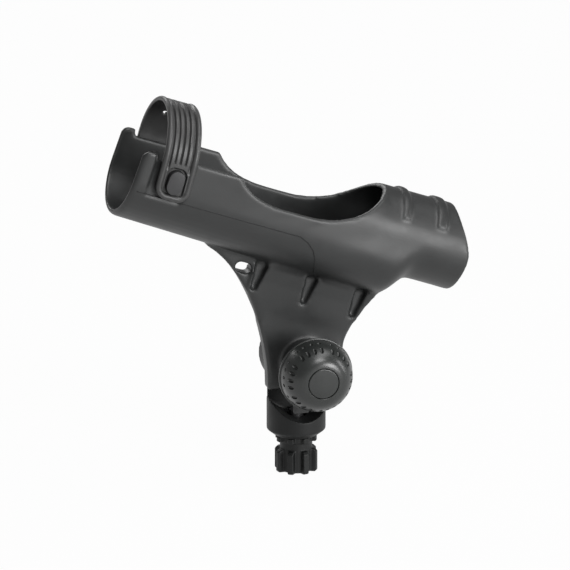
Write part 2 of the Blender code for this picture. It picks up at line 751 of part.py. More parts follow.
def make_base_housing(parent, plastic):
    ear_centre = (TILT_X, TILT_Z)
    profile = [
        (0.0, HOUSING_BOTTOM),
        (CHAMFER_RADIUS, HOUSING_BOTTOM),
        (POST_RADIUS, CHAMFER_TOP),
        (POST_RADIUS, TILT_Z),
        (0.0, TILT_Z),
    ]
    body = solid("base_housing", turned(profile, ROUND, "Z"))
    near = -POST_RADIUS - OVERRUN
    recess = rod(RECESS_RADIUS, near, EAR_NEAR, ROUND, centre=(RECESS_X, RECESS_Z))
    cut(body, solid("recess", recess))
    above = rectangle((-2 * POST_RADIUS, 2 * POST_RADIUS), (RECESS_Z, TILT_Z + OVERRUN))
    cut(body, solid("above", slab(above, near, EAR_NEAR)))
    join(body, solid("ear", rod(EAR_RADIUS, EAR_NEAR, EAR_FAR, ROUND, centre=ear_centre)))
    ring_pocket = rod(TOOTH_OUTER + GAP, EAR_NEAR - OVERRUN, EAR_POCKET, ROUND, centre=ear_centre)
    cut(body, solid("ring_pocket", ring_pocket))
    cut(body, solid("bolt_hole", rod(BOLT_BORE, EAR_NEAR, EAR_FAR + OVERRUN, centre=ear_centre)))
    nut_pocket = [(TILT_X + x, TILT_Z + z) for x, z in hexagon(NUT_FLATS + 2 * GAP)]
    cut(body, solid("nut_pocket", slab(nut_pocket, NUT_SEAT, EAR_FAR + OVERRUN)))
    cap_seat = rod(EAR_CAP_RADIUS + GAP, EAR_CAP_SEAT, EAR_FAR + OVERRUN, ROUND, centre=ear_centre)
    cut(body, solid("cap_seat", cap_seat))
    spigot_top = HOUSING_BOTTOM + SPIGOT_HEIGHT + GAP
    spigot = rod(SPIGOT_RADIUS + GAP, HOUSING_BOTTOM - OVERRUN, spigot_top, axis="Z")
    cut(body, solid("spigot_socket", spigot))
    cut(body, solid("screw_hole", rod(POST_SCREW_RADIUS + GAP, HOUSING_BOTTOM, TILT_Z - 1, axis="Z")))
    head_room = rod(POST_WASHER_RADIUS + 2 * GAP, SCREW_SEAT, RECESS_Z, axis="Z")
    cut(body, solid("head_room", head_room))
    finish(body, parent, plastic)


def tooth_ring_outline(tip_radius, root_radius, z):
    """Outline of the splined post at height z, eight teeth around the axis."""
    points = []
    for k in range(SPLINE_TEETH):
        middle = SPLINE_PHASE + 360.0 * k / SPLINE_TEETH
        gap_half = 180.0 / SPLINE_TEETH - ROOT_HALF_ANGLE
        for radius, offset in (
            (root_radius, -ROOT_HALF_ANGLE),
            (tip_radius, -TIP_HALF_ANGLE),
            (tip_radius, 0.0),
            (tip_radius, TIP_HALF_ANGLE),
            (root_radius, ROOT_HALF_ANGLE),
            (root_radius, ROOT_HALF_ANGLE + gap_half),
        ):
            angle = math.radians(middle + offset)
            points.append((radius * math.cos(angle), radius * math.sin(angle), z))
    return points


def make_spline_post(parent, plastic):
    chamfer = 1.0
    top_chamfer = 1.8
    collar = HOUSING_BOTTOM - GAP
    rings = [
        tooth_ring_outline(SPLINE_RADIUS - chamfer, SPLINE_ROOT - chamfer, 0.0),
        tooth_ring_outline(SPLINE_RADIUS, SPLINE_ROOT, chamfer),
        tooth_ring_outline(SPLINE_RADIUS, SPLINE_ROOT, SPLINE_HEIGHT - top_chamfer),
        tooth_ring_outline(SPLINE_RADIUS - top_chamfer, SPLINE_ROOT, SPLINE_HEIGHT),
        tooth_ring_outline(NECK_RADIUS, NECK_RADIUS, SPLINE_HEIGHT),
        tooth_ring_outline(NECK_RADIUS, NECK_RADIUS, NECK_TOP),
        tooth_ring_outline(CASTLE_RADIUS, CASTLE_ROOT, NECK_TOP),
        tooth_ring_outline(CASTLE_RADIUS, CASTLE_ROOT, collar),
        tooth_ring_outline(SPIGOT_RADIUS, SPIGOT_RADIUS, collar),
        tooth_ring_outline(SPIGOT_RADIUS, SPIGOT_RADIUS, HOUSING_BOTTOM + SPIGOT_HEIGHT),
    ]
    post = solid("spline_post", loft(rings))
    bore = rod(POST_SCREW_RADIUS + GAP, POST_SCREW_END - 2.0, HOUSING_BOTTOM + 20.0, axis="Z")
    cut(post, solid("screw_bore", bore))
    finish(post, parent, plastic)


def make_post_screw(parent, steel):
    seat = SCREW_SEAT + POST_WASHER_THICKNESS + 2 * GAP
    top = seat + SCREW_HEAD_HEIGHT
    profile = [
        (0.0, POST_SCREW_END),
        (POST_SCREW_RADIUS, POST_SCREW_END),
        (POST_SCREW_RADIUS, seat),
        (SCREW_HEAD_RADIUS, seat),
        (SCREW_HEAD_RADIUS, top),
        (0.0, top),
    ]
    screw = solid("post_screw", turned(profile, SMALL_ROUND, "Z"))
    socket_outline = hexagon(SCREW_HEAD_RADIUS)
    socket = loft([[(x, y, z) for x, y in socket_outline] for z in (top - 3.0, top + OVERRUN)])
    cut(screw, solid("socket", socket))
    finish(screw, parent, steel)


def main():
    for old in list(bpy.data.objects):
        bpy.data.objects.remove(old)

    moulded = paint("moulded_nylon", "2B2C2E", 0.55)
    glossy = paint("gloss_abs", "202224", 0.28)
    rubber = paint("moulded_rubber", "262728", 0.65)
    acetal = paint("acetal", "1E1F20", 0.4)
    steel = paint("stainless_steel", "B4B6B8", 0.3, 1.0)
    zinc = paint("cast_zinc", "8C8E90", 0.45, 1.0)

    base = frame("base_frame")
    ear = frame("ear_frame", (TILT_X, 0, TILT_Z), parent=base)
    cradle = frame("cradle_frame", (TILT_X, 0, TILT_Z), REST_PITCH)
    clutch = frame("clutch_frame", parent=cradle)
    knob = frame("knob_frame", parent=clutch)

    make_base_housing(base, moulded)
    make_spline_post(base, moulded)
    make_post_screw(base, steel)
    washer_low = SCREW_SEAT + GAP
    washer_high = washer_low + POST_WASHER_THICKNESS
    washer_bore = POST_SCREW_RADIUS + GAP
    washer = tube(washer_bore, POST_WASHER_RADIUS, washer_low, washer_high, axis="Z")
    finish(solid("post_washer", washer), base, steel)
    make_tooth_ring(ear, zinc)
    make_spring(ear, steel)
    nut = solid("clamp_nut", slab(hexagon(NUT_FLATS), NUT_SEAT + GAP, EAR_CAP_SEAT - GAP))
    cut(nut, solid("thread", rod(BOLT_RADIUS + GAP / 2, NUT_SEAT, EAR_CAP_SEAT)))
    finish(nut, ear, steel)
    cap = rod(EAR_CAP_RADIUS, EAR_CAP_SEAT + GAP, EAR_FAR, ROUND)
    finish(solid("ear_cap", cap), ear, glossy)

    make_cradle(cradle, moulded)
    bush = tube(BUSH_BORE, BUSH_RADIUS, HUB_NEAR + 2 * GAP, HUB_CAVITY - GAP)
    finish(solid("hub_bush", bush), cradle, acetal)
    for name, side in (("near", -1), ("far", 1)):
        make_button(f"strap_button_{name}", side, cradle, moulded)
        make_button_screw(f"button_screw_{name}", side, cradle, steel)
    finish(strap_leg("strap_anchor", 1), cradle, rubber)

    make_clutch_disc(clutch, zinc)
    sleeve = tube(BOLT_BORE, SLEEVE_RADIUS, SLEEVE_NEAR, DISC_BACK - GAP)
    finish(solid("pressure_sleeve", sleeve), clutch, steel)
    thrust = tube(BOLT_BORE, WASHER_RADIUS, SLEEVE_NEAR - GAP - WASHER_THICKNESS, SLEEVE_NEAR - GAP)
    finish(solid("thrust_washer", thrust), clutch, acetal)

    make_knob_shell(knob, glossy)
    make_knob_cap(knob, glossy)
    make_knob_core(knob, moulded)
    make_clamp_bolt(knob, steel)

    finish(strap_arch(), cradle, rubber, (STRAP_MIDDLE, HINGE_Y, STRAP_SHOULDER))
    tab_hinge = (STRAP_MIDDLE, -(STRAP_INNER + STRAP_OUTER) / 2, STRAP_SHOULDER)
    finish(strap_leg("strap_tab", -1), cradle, rubber, tab_hinge)


main()
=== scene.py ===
"""Visual model of the fishing rod holder, modelled round the fixed frame."""

import math

import bpy
from mathutils import Matrix, Vector


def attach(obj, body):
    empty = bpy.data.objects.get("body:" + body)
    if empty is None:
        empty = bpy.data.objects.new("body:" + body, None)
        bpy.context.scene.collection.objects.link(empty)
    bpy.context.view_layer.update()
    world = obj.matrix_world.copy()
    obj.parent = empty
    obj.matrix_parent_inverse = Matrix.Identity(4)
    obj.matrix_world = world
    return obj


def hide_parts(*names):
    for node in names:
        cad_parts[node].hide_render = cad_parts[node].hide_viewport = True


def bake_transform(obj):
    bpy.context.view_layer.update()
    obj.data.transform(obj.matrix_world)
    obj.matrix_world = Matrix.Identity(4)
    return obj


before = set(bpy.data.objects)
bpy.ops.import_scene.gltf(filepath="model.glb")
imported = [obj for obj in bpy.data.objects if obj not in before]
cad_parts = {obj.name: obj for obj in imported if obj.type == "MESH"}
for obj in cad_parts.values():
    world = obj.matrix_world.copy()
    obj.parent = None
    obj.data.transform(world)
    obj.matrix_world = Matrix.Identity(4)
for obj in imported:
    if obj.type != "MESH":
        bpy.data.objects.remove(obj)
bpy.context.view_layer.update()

MM = 0.001
TILT_AXIS = Vector((0.004, 0.0, 0.084))
REST_PITCH = math.radians(20.0)
CRADLE = Matrix.Translation(TILT_AXIS) @ Matrix.Rotation(REST_PITCH, 4, "Y")  # cradle to world

# Cradle sizes in millimetres, in its own frame: x towards the butt, z square to the rod
WALL_RADIUS = 33.0
FRONT = -177.6
FRONT_ARC_HEIGHT = 98.7
REAR_ARC_HEIGHT = 94.0
REAR = 32.0
WALL_BACK = -101.0
WALL_TOP = 123.6
SADDLE_MIDDLE = -48.0
SADDLE_BOTTOM = 108.3
SADDLE_REACH = 64.0
SADDLE_RISE = 31.5
CHEEK_HALF_WIDTH = 14.0

# Strap sizes in millimetres
STRAP_INNER = 33.4
STRAP_THICKNESS = 3.6
STRAP_HALF_WIDTH = 13.0
STRAP_CORNER = 9.0
STRAP_END = 93.7
STRAP_SHOULDER = 121.0
STRAP_MIDDLE = -153.0
STRAP_TOP = 158.0
STRAP_LEAN = 5.0 / 64.0
LEG_LENGTH = STRAP_SHOULDER - STRAP_END
RIM_WIDTH = 4.2
RIM_CROWN = 1.1
BAND_HEIGHT = 3.1
CHANNEL_MIDDLE = 4.7  # from the strap's edge
CHANNEL_HALF_WIDTH = 1.2
CHANNEL_DEPTH = 1.7
GROOVE_PLACES = (-4.1, 0.0, 4.1)
GROOVE_HALF_WIDTH = 0.85
GROOVE_DEPTH = 1.5
GROOVE_START = 28.0
PANEL_MIDDLE = 13.8
PANEL_HALF_LENGTH = 10.9
PANEL_HALF_WIDTH = 8.1
PANEL_CORNERS = (2.5, 6.5)  # at the strap's end and at the arch
PANEL_HEIGHT = 0.9
PANEL_SLOPE = 0.7
BUTTON_HEIGHT = 107.5
BUTTON_HOLE_WIDTH = 12.5
BUTTON_HOLE_LENGTH = 18.3
PEG_HOLE_HEIGHT = 142.7
PEG_HOLE_RADIUS = 2.5

# Knob sizes in millimetres, y along its axis
KNOB_BACK = -38.0
KNOB_RADIUS = 27.4
KNOB_LIP = 1.8
DOME_RADIUS = 26.4
KNOB_FRONT = -62.0
CAP_OPENING = 11.5
CAP_LEDGE = 2.3
LEDGE_FRONT = -59.3
LEDGE_BACK = -57.0
FLANGE_SEAT = -40.4
SHELL_WALL = 4.0
DIMPLE_GROUPS = 6
DIMPLES_PER_GROUP = 4
DIMPLE_PITCH = 13.2
FIRST_GROUP = 108.7


# ---- Objects ----


def only(piece):
    """Selects one piece and nothing else, and makes it active."""
    if bpy.context.mode != "OBJECT":
        bpy.ops.object.mode_set(mode="OBJECT")
    bpy.ops.object.select_all(action="DESELECT")
    piece.select_set(True)
    bpy.context.view_layer.objects.active = piece


def apply(piece, kind, **settings):
    """Adds a modifier with its settings and applies it."""
    modifier = piece.modifiers.new(kind.lower(), kind)
    for key, value in settings.items():
        setattr(modifier, key, value)
    only(piece)
    bpy.ops.object.modifier_apply(modifier=modifier.name)


def tidy(piece, smooth_angle=None):
    """Merges doubles, turns the faces outwards and shades the piece smooth."""
    only(piece)
    bpy.ops.object.transform_apply(location=True, rotation=True, scale=True)
    bpy.ops.object.mode_set(mode="EDIT")
    bpy.ops.mesh.select_all(action="SELECT")
    bpy.ops.mesh.remove_doubles(threshold=1e-6)
    bpy.ops.mesh.normals_make_consistent(inside=False)
    bpy.ops.object.mode_set(mode="OBJECT")
    if smooth_angle is None:
        bpy.ops.object.shade_smooth()
    else:
        bpy.ops.object.shade_smooth_by_angle(angle=math.radians(smooth_angle))


def cad_copy(node, name):
    """A merged copy of a CAD node's mesh, for shaping further."""
    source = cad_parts[node]
    piece = bpy.data.objects.new(name, source.data.copy())
    bpy.context.scene.collection.objects.link(piece)
    only(piece)
    bpy.ops.mesh.customdata_custom_splitnormals_clear()
    bpy.ops.object.mode_set(mode="EDIT")
    bpy.ops.mesh.select_all(action="SELECT")
    bpy.ops.mesh.remove_doubles(threshold=1e-6)
    bpy.ops.object.mode_set(mode="OBJECT")
    return piece


def place(piece, material, slot, *nodes, body=None):
    """Gives a finished piece its finish and the nodes it stands for; the slot is not used."""
    piece.data.materials.clear()
    piece.data.materials.append(material)
    if body:
        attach(piece, body)
    if nodes:
        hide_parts(*nodes)


def moulded(piece, voxel, rounds, turn=Matrix.Identity(4)):
    """Rounds every edge and inner corner of a piece, as a moulding's are."""
    piece.data.transform(turn.inverted())
    apply(piece, "REMESH", mode="VOXEL", voxel_size=voxel * MM, adaptivity=0.0)
    apply(piece, "SMOOTH", factor=0.5, iterations=rounds)
    piece.data.transform(turn)
    tidy(piece)
    return piece


def bevelled(node, name, width, segments=4):
    """A CAD node with its sharp edges rounded by the width in millimetres."""
    piece = cad_copy(node, name)
    only(piece)
    bpy.ops.object.mode_set(mode="EDIT")
    bpy.ops.mesh.select_all(action="SELECT")
    bpy.ops.mesh.dissolve_limited(angle_limit=math.radians(1.0))
    bpy.ops.object.mode_set(mode="OBJECT")
    apply(
        piece, "BEVEL", width=width * MM, segments=segments, limit_method="ANGLE",
        angle_limit=math.radians(40.0), use_clamp_overlap=True,
    )
    tidy(piece, 35.0)
    return piece


def drawn_line(name, points):
    """A line of edges through the points, drawn from one vertex by extruding."""
    bpy.ops.object.select_all(action="DESELECT")
    bpy.ops.mesh.primitive_plane_add(size=MM, location=(0, 0, 0))
    piece = bpy.context.object
    piece.name = name
    bpy.ops.object.mode_set(mode="EDIT")
    bpy.ops.mesh.select_all(action="SELECT")
    bpy.ops.mesh.merge(type="CENTER")
    bpy.ops.transform.translate(value=points[0])
    for here, there in zip(points, points[1:]):
        bpy.ops.mesh.extrude_vertices_move(
            TRANSFORM_OT_translate={"value": Vector(there) - Vector(here)}
        )
    return piece


def turned(name, profile, steps):
    """Spins (radius, y) points about the tilt axis into a closed ring."""
    points = [
        (TILT_AXIS.x + radius * MM, y * MM, TILT_AXIS.z) for radius, y in profile + profile[:1]
    ]
    piece = drawn_line(name, points)
    bpy.ops.mesh.select_all(action="SELECT")
    bpy.ops.mesh.spin(steps=steps, angle=2 * math.pi, center=TILT_AXIS, axis=(0, 1, 0))
    bpy.ops.object.mode_set(mode="OBJECT")
    return piece


def cut(piece, cutter):
    """Takes the cutter out of the piece and deletes the cutter."""
    apply(piece, "BOOLEAN", operation="DIFFERENCE", object=cutter, solver="EXACT")
    bpy.data.objects.remove(cutter)


def eased(value, start, end):
    """0 before start, 1 after end, and smooth between them."""
    t = min(max((value - start) / (end - start), 0.0), 1.0)
    return t * t * (3 - 2 * t)


# ---- Materials ----


def linear(hex_colour):
    """Turns an sRGB hex colour into the linear RGBA that a shader socket takes."""
    channels = [int(hex_colour[i : i + 2], 16) / 255 for i in (0, 2, 4)]
    curve = [c / 12.92 if c <= 0.04045 else ((c + 0.055) / 1.055) ** 2.4 for c in channels]
    return (*curve, 1.0)


def add(tree, kind, inputs=(), **settings):
    """Adds a node with its settings, its input values and its links."""
    node = tree.nodes.new(kind)
    for key, value in settings.items():
        setattr(node, key, value)
    for key, value in dict(inputs).items():
        if isinstance(value, bpy.types.NodeSocket):
            tree.links.new(value, node.inputs[key])
        else:
            node.inputs[key].default_value = value
    return node


def surface(name, low, high, patch_mm, roughness, grain_mm, grain_depth_mm, **sockets):
    """A finish whose colour and gloss drift over patches and whose skin has a fine grain."""
    material = bpy.data.materials.new(name)
    material.use_nodes = True
    tree = material.node_tree
    shader = tree.nodes["Principled BSDF"]
    where = add(tree, "ShaderNodeTexCoord").outputs["Object"]
    patches = add(
        tree, "ShaderNodeTexNoise",
        {"Vector": where, "Scale": 1 / (patch_mm * MM), "Detail": 4.0, "Roughness": 0.6},
    ).outputs["Fac"]
    spread = add(
        tree, "ShaderNodeMapRange",
        {"Value": patches, "From Min": 0.3, "From Max": 0.7, "To Min": 0.0, "To Max": 1.0},
    ).outputs["Result"]
    colour = add(
        tree, "ShaderNodeMix",
        {"Factor": spread, "A": linear(low), "B": linear(high)}, data_type="RGBA",
    )
    gloss = add(
        tree, "ShaderNodeMapRange",
        {"Value": patches, "From Min": 0.3, "From Max": 0.7,
         "To Min": roughness[0], "To Max": roughness[1]},
    ).outputs["Result"]
    grain = add(
        tree, "ShaderNodeTexNoise",
        {"Vector": where, "Scale": 1 / (grain_mm * MM), "Detail": 2.0, "Roughness": 0.5},
    ).outputs["Fac"]
    skin = add(
        tree, "ShaderNodeBump",
        {"Height": grain, "Distance": grain_depth_mm * MM, "Strength": 1.0},
    ).outputs["Normal"]
    tree.links.new(colour.outputs["Result"], shader.inputs["Base Color"])
    tree.links.new(gloss, shader.inputs["Roughness"])
    tree.links.new(skin, shader.inputs["Normal"])
    for key, value in sockets.items():
        shader.inputs[key.replace("_", " ")].default_value = value
    return material


# Glass-filled nylon, moulded against a lightly spark-eroded tool: dark, satin, faintly grainy.
nylon = surface("glass_filled_nylon", "1f2020", "252626", 22.0, (0.38, 0.50), 0.8, 0.03, IOR=1.53)
# The base and post take a darker, duller copy of the same nylon, with a lower specular level:
# painted shade, for the shade they lie in under the trough and the knob.
painted_shade_nylon = surface("nylon_in_painted_shade", "141515", "191a1a", 18.0, (0.46, 0.58), 0.8, 0.03, IOR=1.5)
painted_shade_nylon.node_tree.nodes["Principled BSDF"].inputs["Specular IOR Level"].default_value = 0.3
# ABS moulded in a polished tool: the same dark tone with a tighter, wider highlight.
abs_plastic = surface("polished_abs", "1f2120", "252726", 16.0, (0.27, 0.36), 0.9, 0.02, IOR=1.54)
# EPDM rubber, moulded: a greyer black whose highlight is broad and soft.
rubber = surface("moulded_epdm_rubber", "303030", "383838", 12.0, (0.36, 0.48), 0.7, 0.03, IOR=1.52)
# Acetal, moulded: smooth and slightly waxy.
acetal = surface("moulded_acetal", "2b2b2c", "313132", 9.0, (0.34, 0.44), 0.6, 0.015, IOR=1.48)
# Stainless steel, turned and tumbled: bright with a soft satin.
stainless = surface(
    "tumbled_stainless_steel", "b4b5b6", "c6c6c5", 6.0, (0.22, 0.34), 0.5, 0.006, Metallic=1.0
)
# Black-oxide steel, dipped: the post's screw and washer, dark with an oily gloss.
black_oxide = surface("black_oxide_steel", "262627", "303031", 4.0, (0.34, 0.46), 0.5, 0.006)
# Sintered steel, pressed from powder: mid grey, dull and slightly porous.
sintered = surface(
    "sintered_steel", "67645f", "78756f", 5.0, (0.45, 0.6), 0.45, 0.03, Metallic=1.0
)


# ---- Cradle ----

def block(x, y, z, side=1):
    """A box cutter in the cradle's frame, spans in millimetres, y measured outwards."""
    bpy.ops.object.select_all(action="DESELECT")
    bpy.ops.mesh.primitive_cube_add(size=1.0)
    piece = bpy.context.object
    spans = [Vector((a, side * b, c)) * MM for a, b, c in zip(x, y, z)]
    size, middle = spans[1] - spans[0], (spans[0] + spans[1]) / 2
    piece.data.transform(Matrix.Translation(middle) @ Matrix.Diagonal((*size, 1.0)))
    tidy(piece)
    return piece


def flute(x, side):
    """A tapered, round-tipped cutter that deepens one groove between the web's pads."""
    face = WEB_FACES[side] - FLUTE_DEPTH
    bpy.ops.object.select_all(action="DESELECT")
    bpy.ops.mesh.primitive_cylinder_add(
        vertices=32, radius=FLUTE_TIP / 2 * MM, depth=2 * FLUTE_REACH * MM,
        rotation=(math.pi / 2, 0, 0),
    )
    piece = bpy.context.object
    bpy.ops.object.transform_apply(rotation=True)
    for vertex in piece.data.vertices:
        if vertex.co.z > 0:
            vertex.co.x *= FLUTE_TOP / FLUTE_TIP
            vertex.co.z += (FLUTE_HIGH - FLUTE_LOW) * MM
    middle = side * (face + FLUTE_REACH)
    piece.data.transform(
        CRADLE @ Matrix.Translation(Vector((x, middle, FLUTE_LOW)) * MM)
    )
    tidy(piece)
    return piece


WEB_FACES = {-1: 7.6, 1: 4.5}
FLUTE_DEPTH = 2.6
FLUTE_REACH = 8.0
FLUTE_TOP = 9.5
FLUTE_TIP = 4.8
FLUTE_HIGH = 62.0
FLUTE_LOW = 43.0
FLUTE_PLACES = (-56.0, -16.5, 22.0)
STRAP_SEAT = ((-166.8, -138.0), (31.2, 36.0), (91.0, 126.0))
VOXEL = 1.15

cradle = cad_copy("cradle", "cradle_moulding")
for side in (-1, 1):
    for x in FLUTE_PLACES:
        cut(cradle, flute(x, side))
    seat = block(*STRAP_SEAT, side)
    seat.data.transform(CRADLE)
    cut(cradle, seat)
cradle = moulded(cradle, VOXEL, 7, CRADLE)


def rim_height(x):
    """Height of the saddle's rim, or of the wall's top, at x."""
    if x < WALL_BACK:
        return WALL_TOP
    if x < SADDLE_MIDDLE:
        fall = (SADDLE_MIDDLE - x) / (SADDLE_MIDDLE - WALL_BACK)
        return SADDLE_BOTTOM + (WALL_TOP - SADDLE_BOTTOM) * fall**2.2
    climb = min(x - SADDLE_MIDDLE, SADDLE_REACH) / SADDLE_REACH
    return SADDLE_BOTTOM + SADDLE_RISE * climb**1.8


def ease_weight(place):
    """How much a point of the cradle is eased: the closing of the barrel and the web's cheeks."""
    x, z = place.x / MM, place.z / MM
    shell = eased(x, -75.0, -45.0) * (1 - eased(x, 72.0, 80.0)) * eased(z, 60.0, 62.0)
    shell *= 1 - eased(z, rim_height(x) - 12.0, rim_height(x) - 5.0)
    shell *= 1 - eased(x, 18.0, 26.0) * eased(z, 116.0, 122.0)
    cheek = eased(z, 17.0, 22.0) * (1 - eased(z, 36.0, 39.5))
    cheek *= abs(place.y / MM) < CHEEK_HALF_WIDTH
    return max(shell, cheek)


def ease_cradle(piece, rounds):
    """Blends the barrel into the trough, and the pads into the web, by local smoothing."""
    group = piece.vertex_groups.new(name="eased")
    to_cradle = CRADLE.inverted()
    for vertex in piece.data.vertices:
        weight = ease_weight(to_cradle @ vertex.co)
        if weight > 0:
            group.add([vertex.index], weight, "REPLACE")
    apply(piece, "SMOOTH", factor=0.5, iterations=rounds, vertex_group="eased")
    piece.vertex_groups.clear()


ease_cradle(cradle, 70)
place(cradle, nylon, "moulded_nylon", "cradle", body="cradle")


def wall_side(x, z):
    """Half width of the trough's outside at (x, z) below its straight sides."""
    along = (x - FRONT) / (REAR - FRONT)
    arc_height = FRONT_ARC_HEIGHT + (REAR_ARC_HEIGHT - FRONT_ARC_HEIGHT) * along
    drop = max(arc_height - z, 0.0)
    return math.sqrt(WALL_RADIUS**2 - drop**2)


SEAM = ((-173.0, 93.2), (-140.0, 93.2), (-100.0, 93.2), (-60.0, 93.2), (-44.0, 93.2),
        (-37.0, 90.4), (-31.0, 85.7), (-27.5, 80.6), (-25.5, 76.7), (-20.0, 67.7))
SEAM_RADIUS = 0.42
SEAM_SINK = 0.22  # how far the bead's middle is inside the wall
SEAM_STEP = 1.5


def seam_points():
    """Evenly spaced (x, z) along the seam's corners."""
    points = []
    for (x0, z0), (x1, z1) in zip(SEAM, SEAM[1:]):
        count = max(1, round(math.hypot(x1 - x0, z1 - z0) / SEAM_STEP))
        points += [(x0 + (x1 - x0) * k / count, z0 + (z1 - z0) * k / count) for k in range(count)]
    return points + [SEAM[-1]]


def seam_bead(name, side):
    """The fine bead that the tool's parting line leaves along the wall."""
    line = []
    for x, z in seam_points():
        line.append(CRADLE @ (Vector((x, side * (wall_side(x, z) - SEAM_SINK), z)) * MM))
    bead = drawn_line(name, line)
    bpy.ops.object.mode_set(mode="OBJECT")
    only(bead)
    bpy.ops.object.convert(target="CURVE")
    curve = bead.data
    curve.bevel_depth = SEAM_RADIUS * MM
    curve.bevel_resolution = 2
    curve.use_fill_caps = True
    bpy.ops.object.convert(target="MESH")
    tidy(bead)
    # The bead takes the darker nylon too: painted shade, for the dark line along the parting.
    place(bead, painted_shade_nylon, "moulded_nylon", body="cradle")


seam_bead("parting_bead_near", -1)
seam_bead("parting_bead_far", 1)


# ---- Base ----

# The base, post and ear cover take the darker nylon: painted shade.
housing = moulded(cad_copy("base_housing", "base_moulding"), 0.62, 5)
place(housing, painted_shade_nylon, "moulded_nylon", "base_housing", body="base")
post = moulded(cad_copy("spline_post", "spline_moulding"), 0.45, 3)
place(post, painted_shade_nylon, "moulded_nylon", "spline_post", body="base")
ear_cover = bevelled("ear_cap", "ear_cover", 0.4)
place(ear_cover, painted_shade_nylon, "moulded_nylon", "ear_cap", body="base")


# ---- Knob ----


def dome(radius, front, back, turn):
    """(radius, y) on an oval dome at an angle from its rim."""
    reach = radius - CAP_OPENING
    return (CAP_OPENING + reach * math.cos(turn), back + (front - back) * math.sin(turn))


def knob_profile():
    lip_front = KNOB_BACK - KNOB_LIP
    inner = DOME_RADIUS - SHELL_WALL
    mouth = DOME_RADIUS - 2.0
    steps = 20
    quarter = [math.pi / 2 * k / steps for k in range(steps + 1)]
    outer = [dome(DOME_RADIUS, KNOB_FRONT, lip_front, a) for a in quarter]
    hollow = [dome(inner, LEDGE_BACK, FLANGE_SEAT, a) for a in quarter[::-4]]
    profile = [(mouth, KNOB_BACK), (KNOB_RADIUS - 0.4, KNOB_BACK)]
    profile += [(KNOB_RADIUS, KNOB_BACK - 0.4), (KNOB_RADIUS, lip_front + 0.5)]
    profile += [(KNOB_RADIUS - 0.3, lip_front + 0.1), (DOME_RADIUS + 0.2, lip_front)]
    profile += outer[1:-1] + [(CAP_OPENING + 0.3, KNOB_FRONT), (CAP_OPENING, KNOB_FRONT + 0.3)]
    profile += [(CAP_OPENING, LEDGE_FRONT), (CAP_OPENING - CAP_LEDGE, LEDGE_FRONT)]
    profile += [(CAP_OPENING - CAP_LEDGE, LEDGE_BACK)] + hollow + [(mouth, FLANGE_SEAT)]
    return profile


def dimple(turn, degrees, size):
    """An egg-shaped cutter lying on the dome, its long way up the dome."""
    lip_front = KNOB_BACK - KNOB_LIP
    radius, y = dome(DOME_RADIUS, KNOB_FRONT, lip_front, turn)
    ahead_radius, ahead_y = dome(DOME_RADIUS, KNOB_FRONT, lip_front, turn + 0.01)
    spoke = Vector((math.cos(math.radians(degrees)), 0, math.sin(math.radians(degrees))))
    along = (spoke * (ahead_radius - radius) + Vector((0, ahead_y - y, 0))).normalized()
    across = Vector((0, 1, 0)).cross(spoke).normalized()
    out = along.cross(across).normalized()
    bpy.ops.mesh.primitive_uv_sphere_add(segments=20, ring_count=12, radius=MM)
    cutter = bpy.context.object
    centre = TILT_AXIS + spoke * radius * MM + Vector((0, y * MM, 0))
    axes = Matrix((along * size[0], across * size[1], out * size[2])).transposed().to_4x4()
    cutter.data.transform(Matrix.Translation(centre) @ axes)
    return cutter


def dimples():
    """All the knob's dimples as one cutter."""
    cutters = []
    for group in range(DIMPLE_GROUPS):
        for k in range(DIMPLES_PER_GROUP):
            step = (k - (DIMPLES_PER_GROUP - 1) / 2) * DIMPLE_PITCH
            degrees = FIRST_GROUP + group * 360.0 / DIMPLE_GROUPS + step
            cutters.append(dimple(0.70, degrees, (3.1, 1.5, 1.7)))
            cutters.append(dimple(0.29, degrees, (1.5, 1.3, 1.2)))
    bpy.ops.object.select_all(action="DESELECT")
    for cutter in cutters:
        cutter.select_set(True)
    bpy.context.view_layer.objects.active = cutters[0]
    bpy.ops.object.join()
    tidy(cutters[0])
    return cutters[0]


knob = turned("knob_dome", knob_profile(), 144)
tidy(knob)
cut(knob, dimples())
tidy(knob, 32.0)
place(knob, abs_plastic, "gloss_plastic", "knob_shell", body="knob")
cap = bevelled("knob_cap", "knob_centre_cap", 0.35)
place(cap, abs_plastic, "gloss_plastic", "knob_cap", body="knob")


# ---- Strap ----


def strap_half_width(u):
    """Half width of the strap at u millimetres from its end."""
    if u >= STRAP_CORNER:
        return STRAP_HALF_WIDTH
    flat = STRAP_HALF_WIDTH - STRAP_CORNER
    return flat + math.sqrt(STRAP_CORNER**2 - (STRAP_CORNER - u) ** 2)


def edge_distance(u, w):
    """How far (u, w) is inside the strap's outline."""
    flat = STRAP_HALF_WIDTH - STRAP_CORNER
    if u < STRAP_CORNER and abs(w) > flat:
        return STRAP_CORNER - math.hypot(STRAP_CORNER - u, abs(w) - flat)
    return min(STRAP_HALF_WIDTH - abs(w), u)


def panel_distance(u, w):
    """How far (u, w) is outside the recess round the button; negative inside it."""
    corner = PANEL_CORNERS[u > PANEL_MIDDLE]
    du = abs(u - PANEL_MIDDLE) - (PANEL_HALF_LENGTH - corner)
    dw = abs(w) - (PANEL_HALF_WIDTH - corner)
    return math.hypot(max(du, 0.0), max(dw, 0.0)) + min(max(du, dw), 0.0) - corner


def hollow(distance, half_width, depth):
    """Depth of a round-bottomed groove at a distance from its middle."""
    return depth * max(0.0, 1 - (distance / half_width) ** 2)


